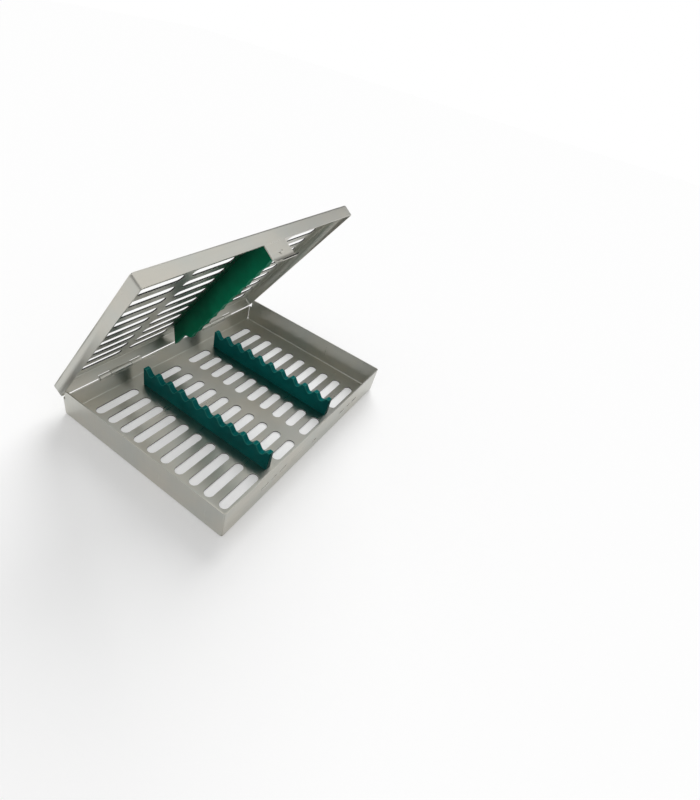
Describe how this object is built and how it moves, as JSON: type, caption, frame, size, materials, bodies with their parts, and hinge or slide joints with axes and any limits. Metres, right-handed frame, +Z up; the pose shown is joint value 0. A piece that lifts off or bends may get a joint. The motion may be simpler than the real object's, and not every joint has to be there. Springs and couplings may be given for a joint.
{
  "type": "dental instrument cassette",
  "caption": "Shallow hinged tray of perforated steel sheet with a slotted lid, a snap tab and notched silicone rails that hold hand instruments.",
  "frame": {"origin": "middle of the tray's underside", "axes": "+X along the hinge to the right seen from the front, +Y to the hinge, +Z up"},
  "size_m": [0.2024, 0.1541, 0.1431],
  "materials": {
    "satin_steel": "satin brushed stainless sheet",
    "pin_steel": "drawn stainless wire",
    "green_silicone": "smooth matt silicone"
  },
  "bodies": {
    "tray_body": {"base_tray": "satin_steel", "base_rail_left": "green_silicone", "base_rail_right": "green_silicone", "hinge_pin_left": "pin_steel", "hinge_pin_right": "pin_steel"},
    "lid_body": {"lid": "satin_steel", "lid_rail": "green_silicone"}
  },
  "joints": [
    {"name": "lid_hinge", "type": "hinge", "parent": "tray_body", "child": "lid_body", "pos_m": [0, 0.0737, 0.0155], "axis": [-1, 0, 0], "range_deg": [-56, 119]}
  ]
}
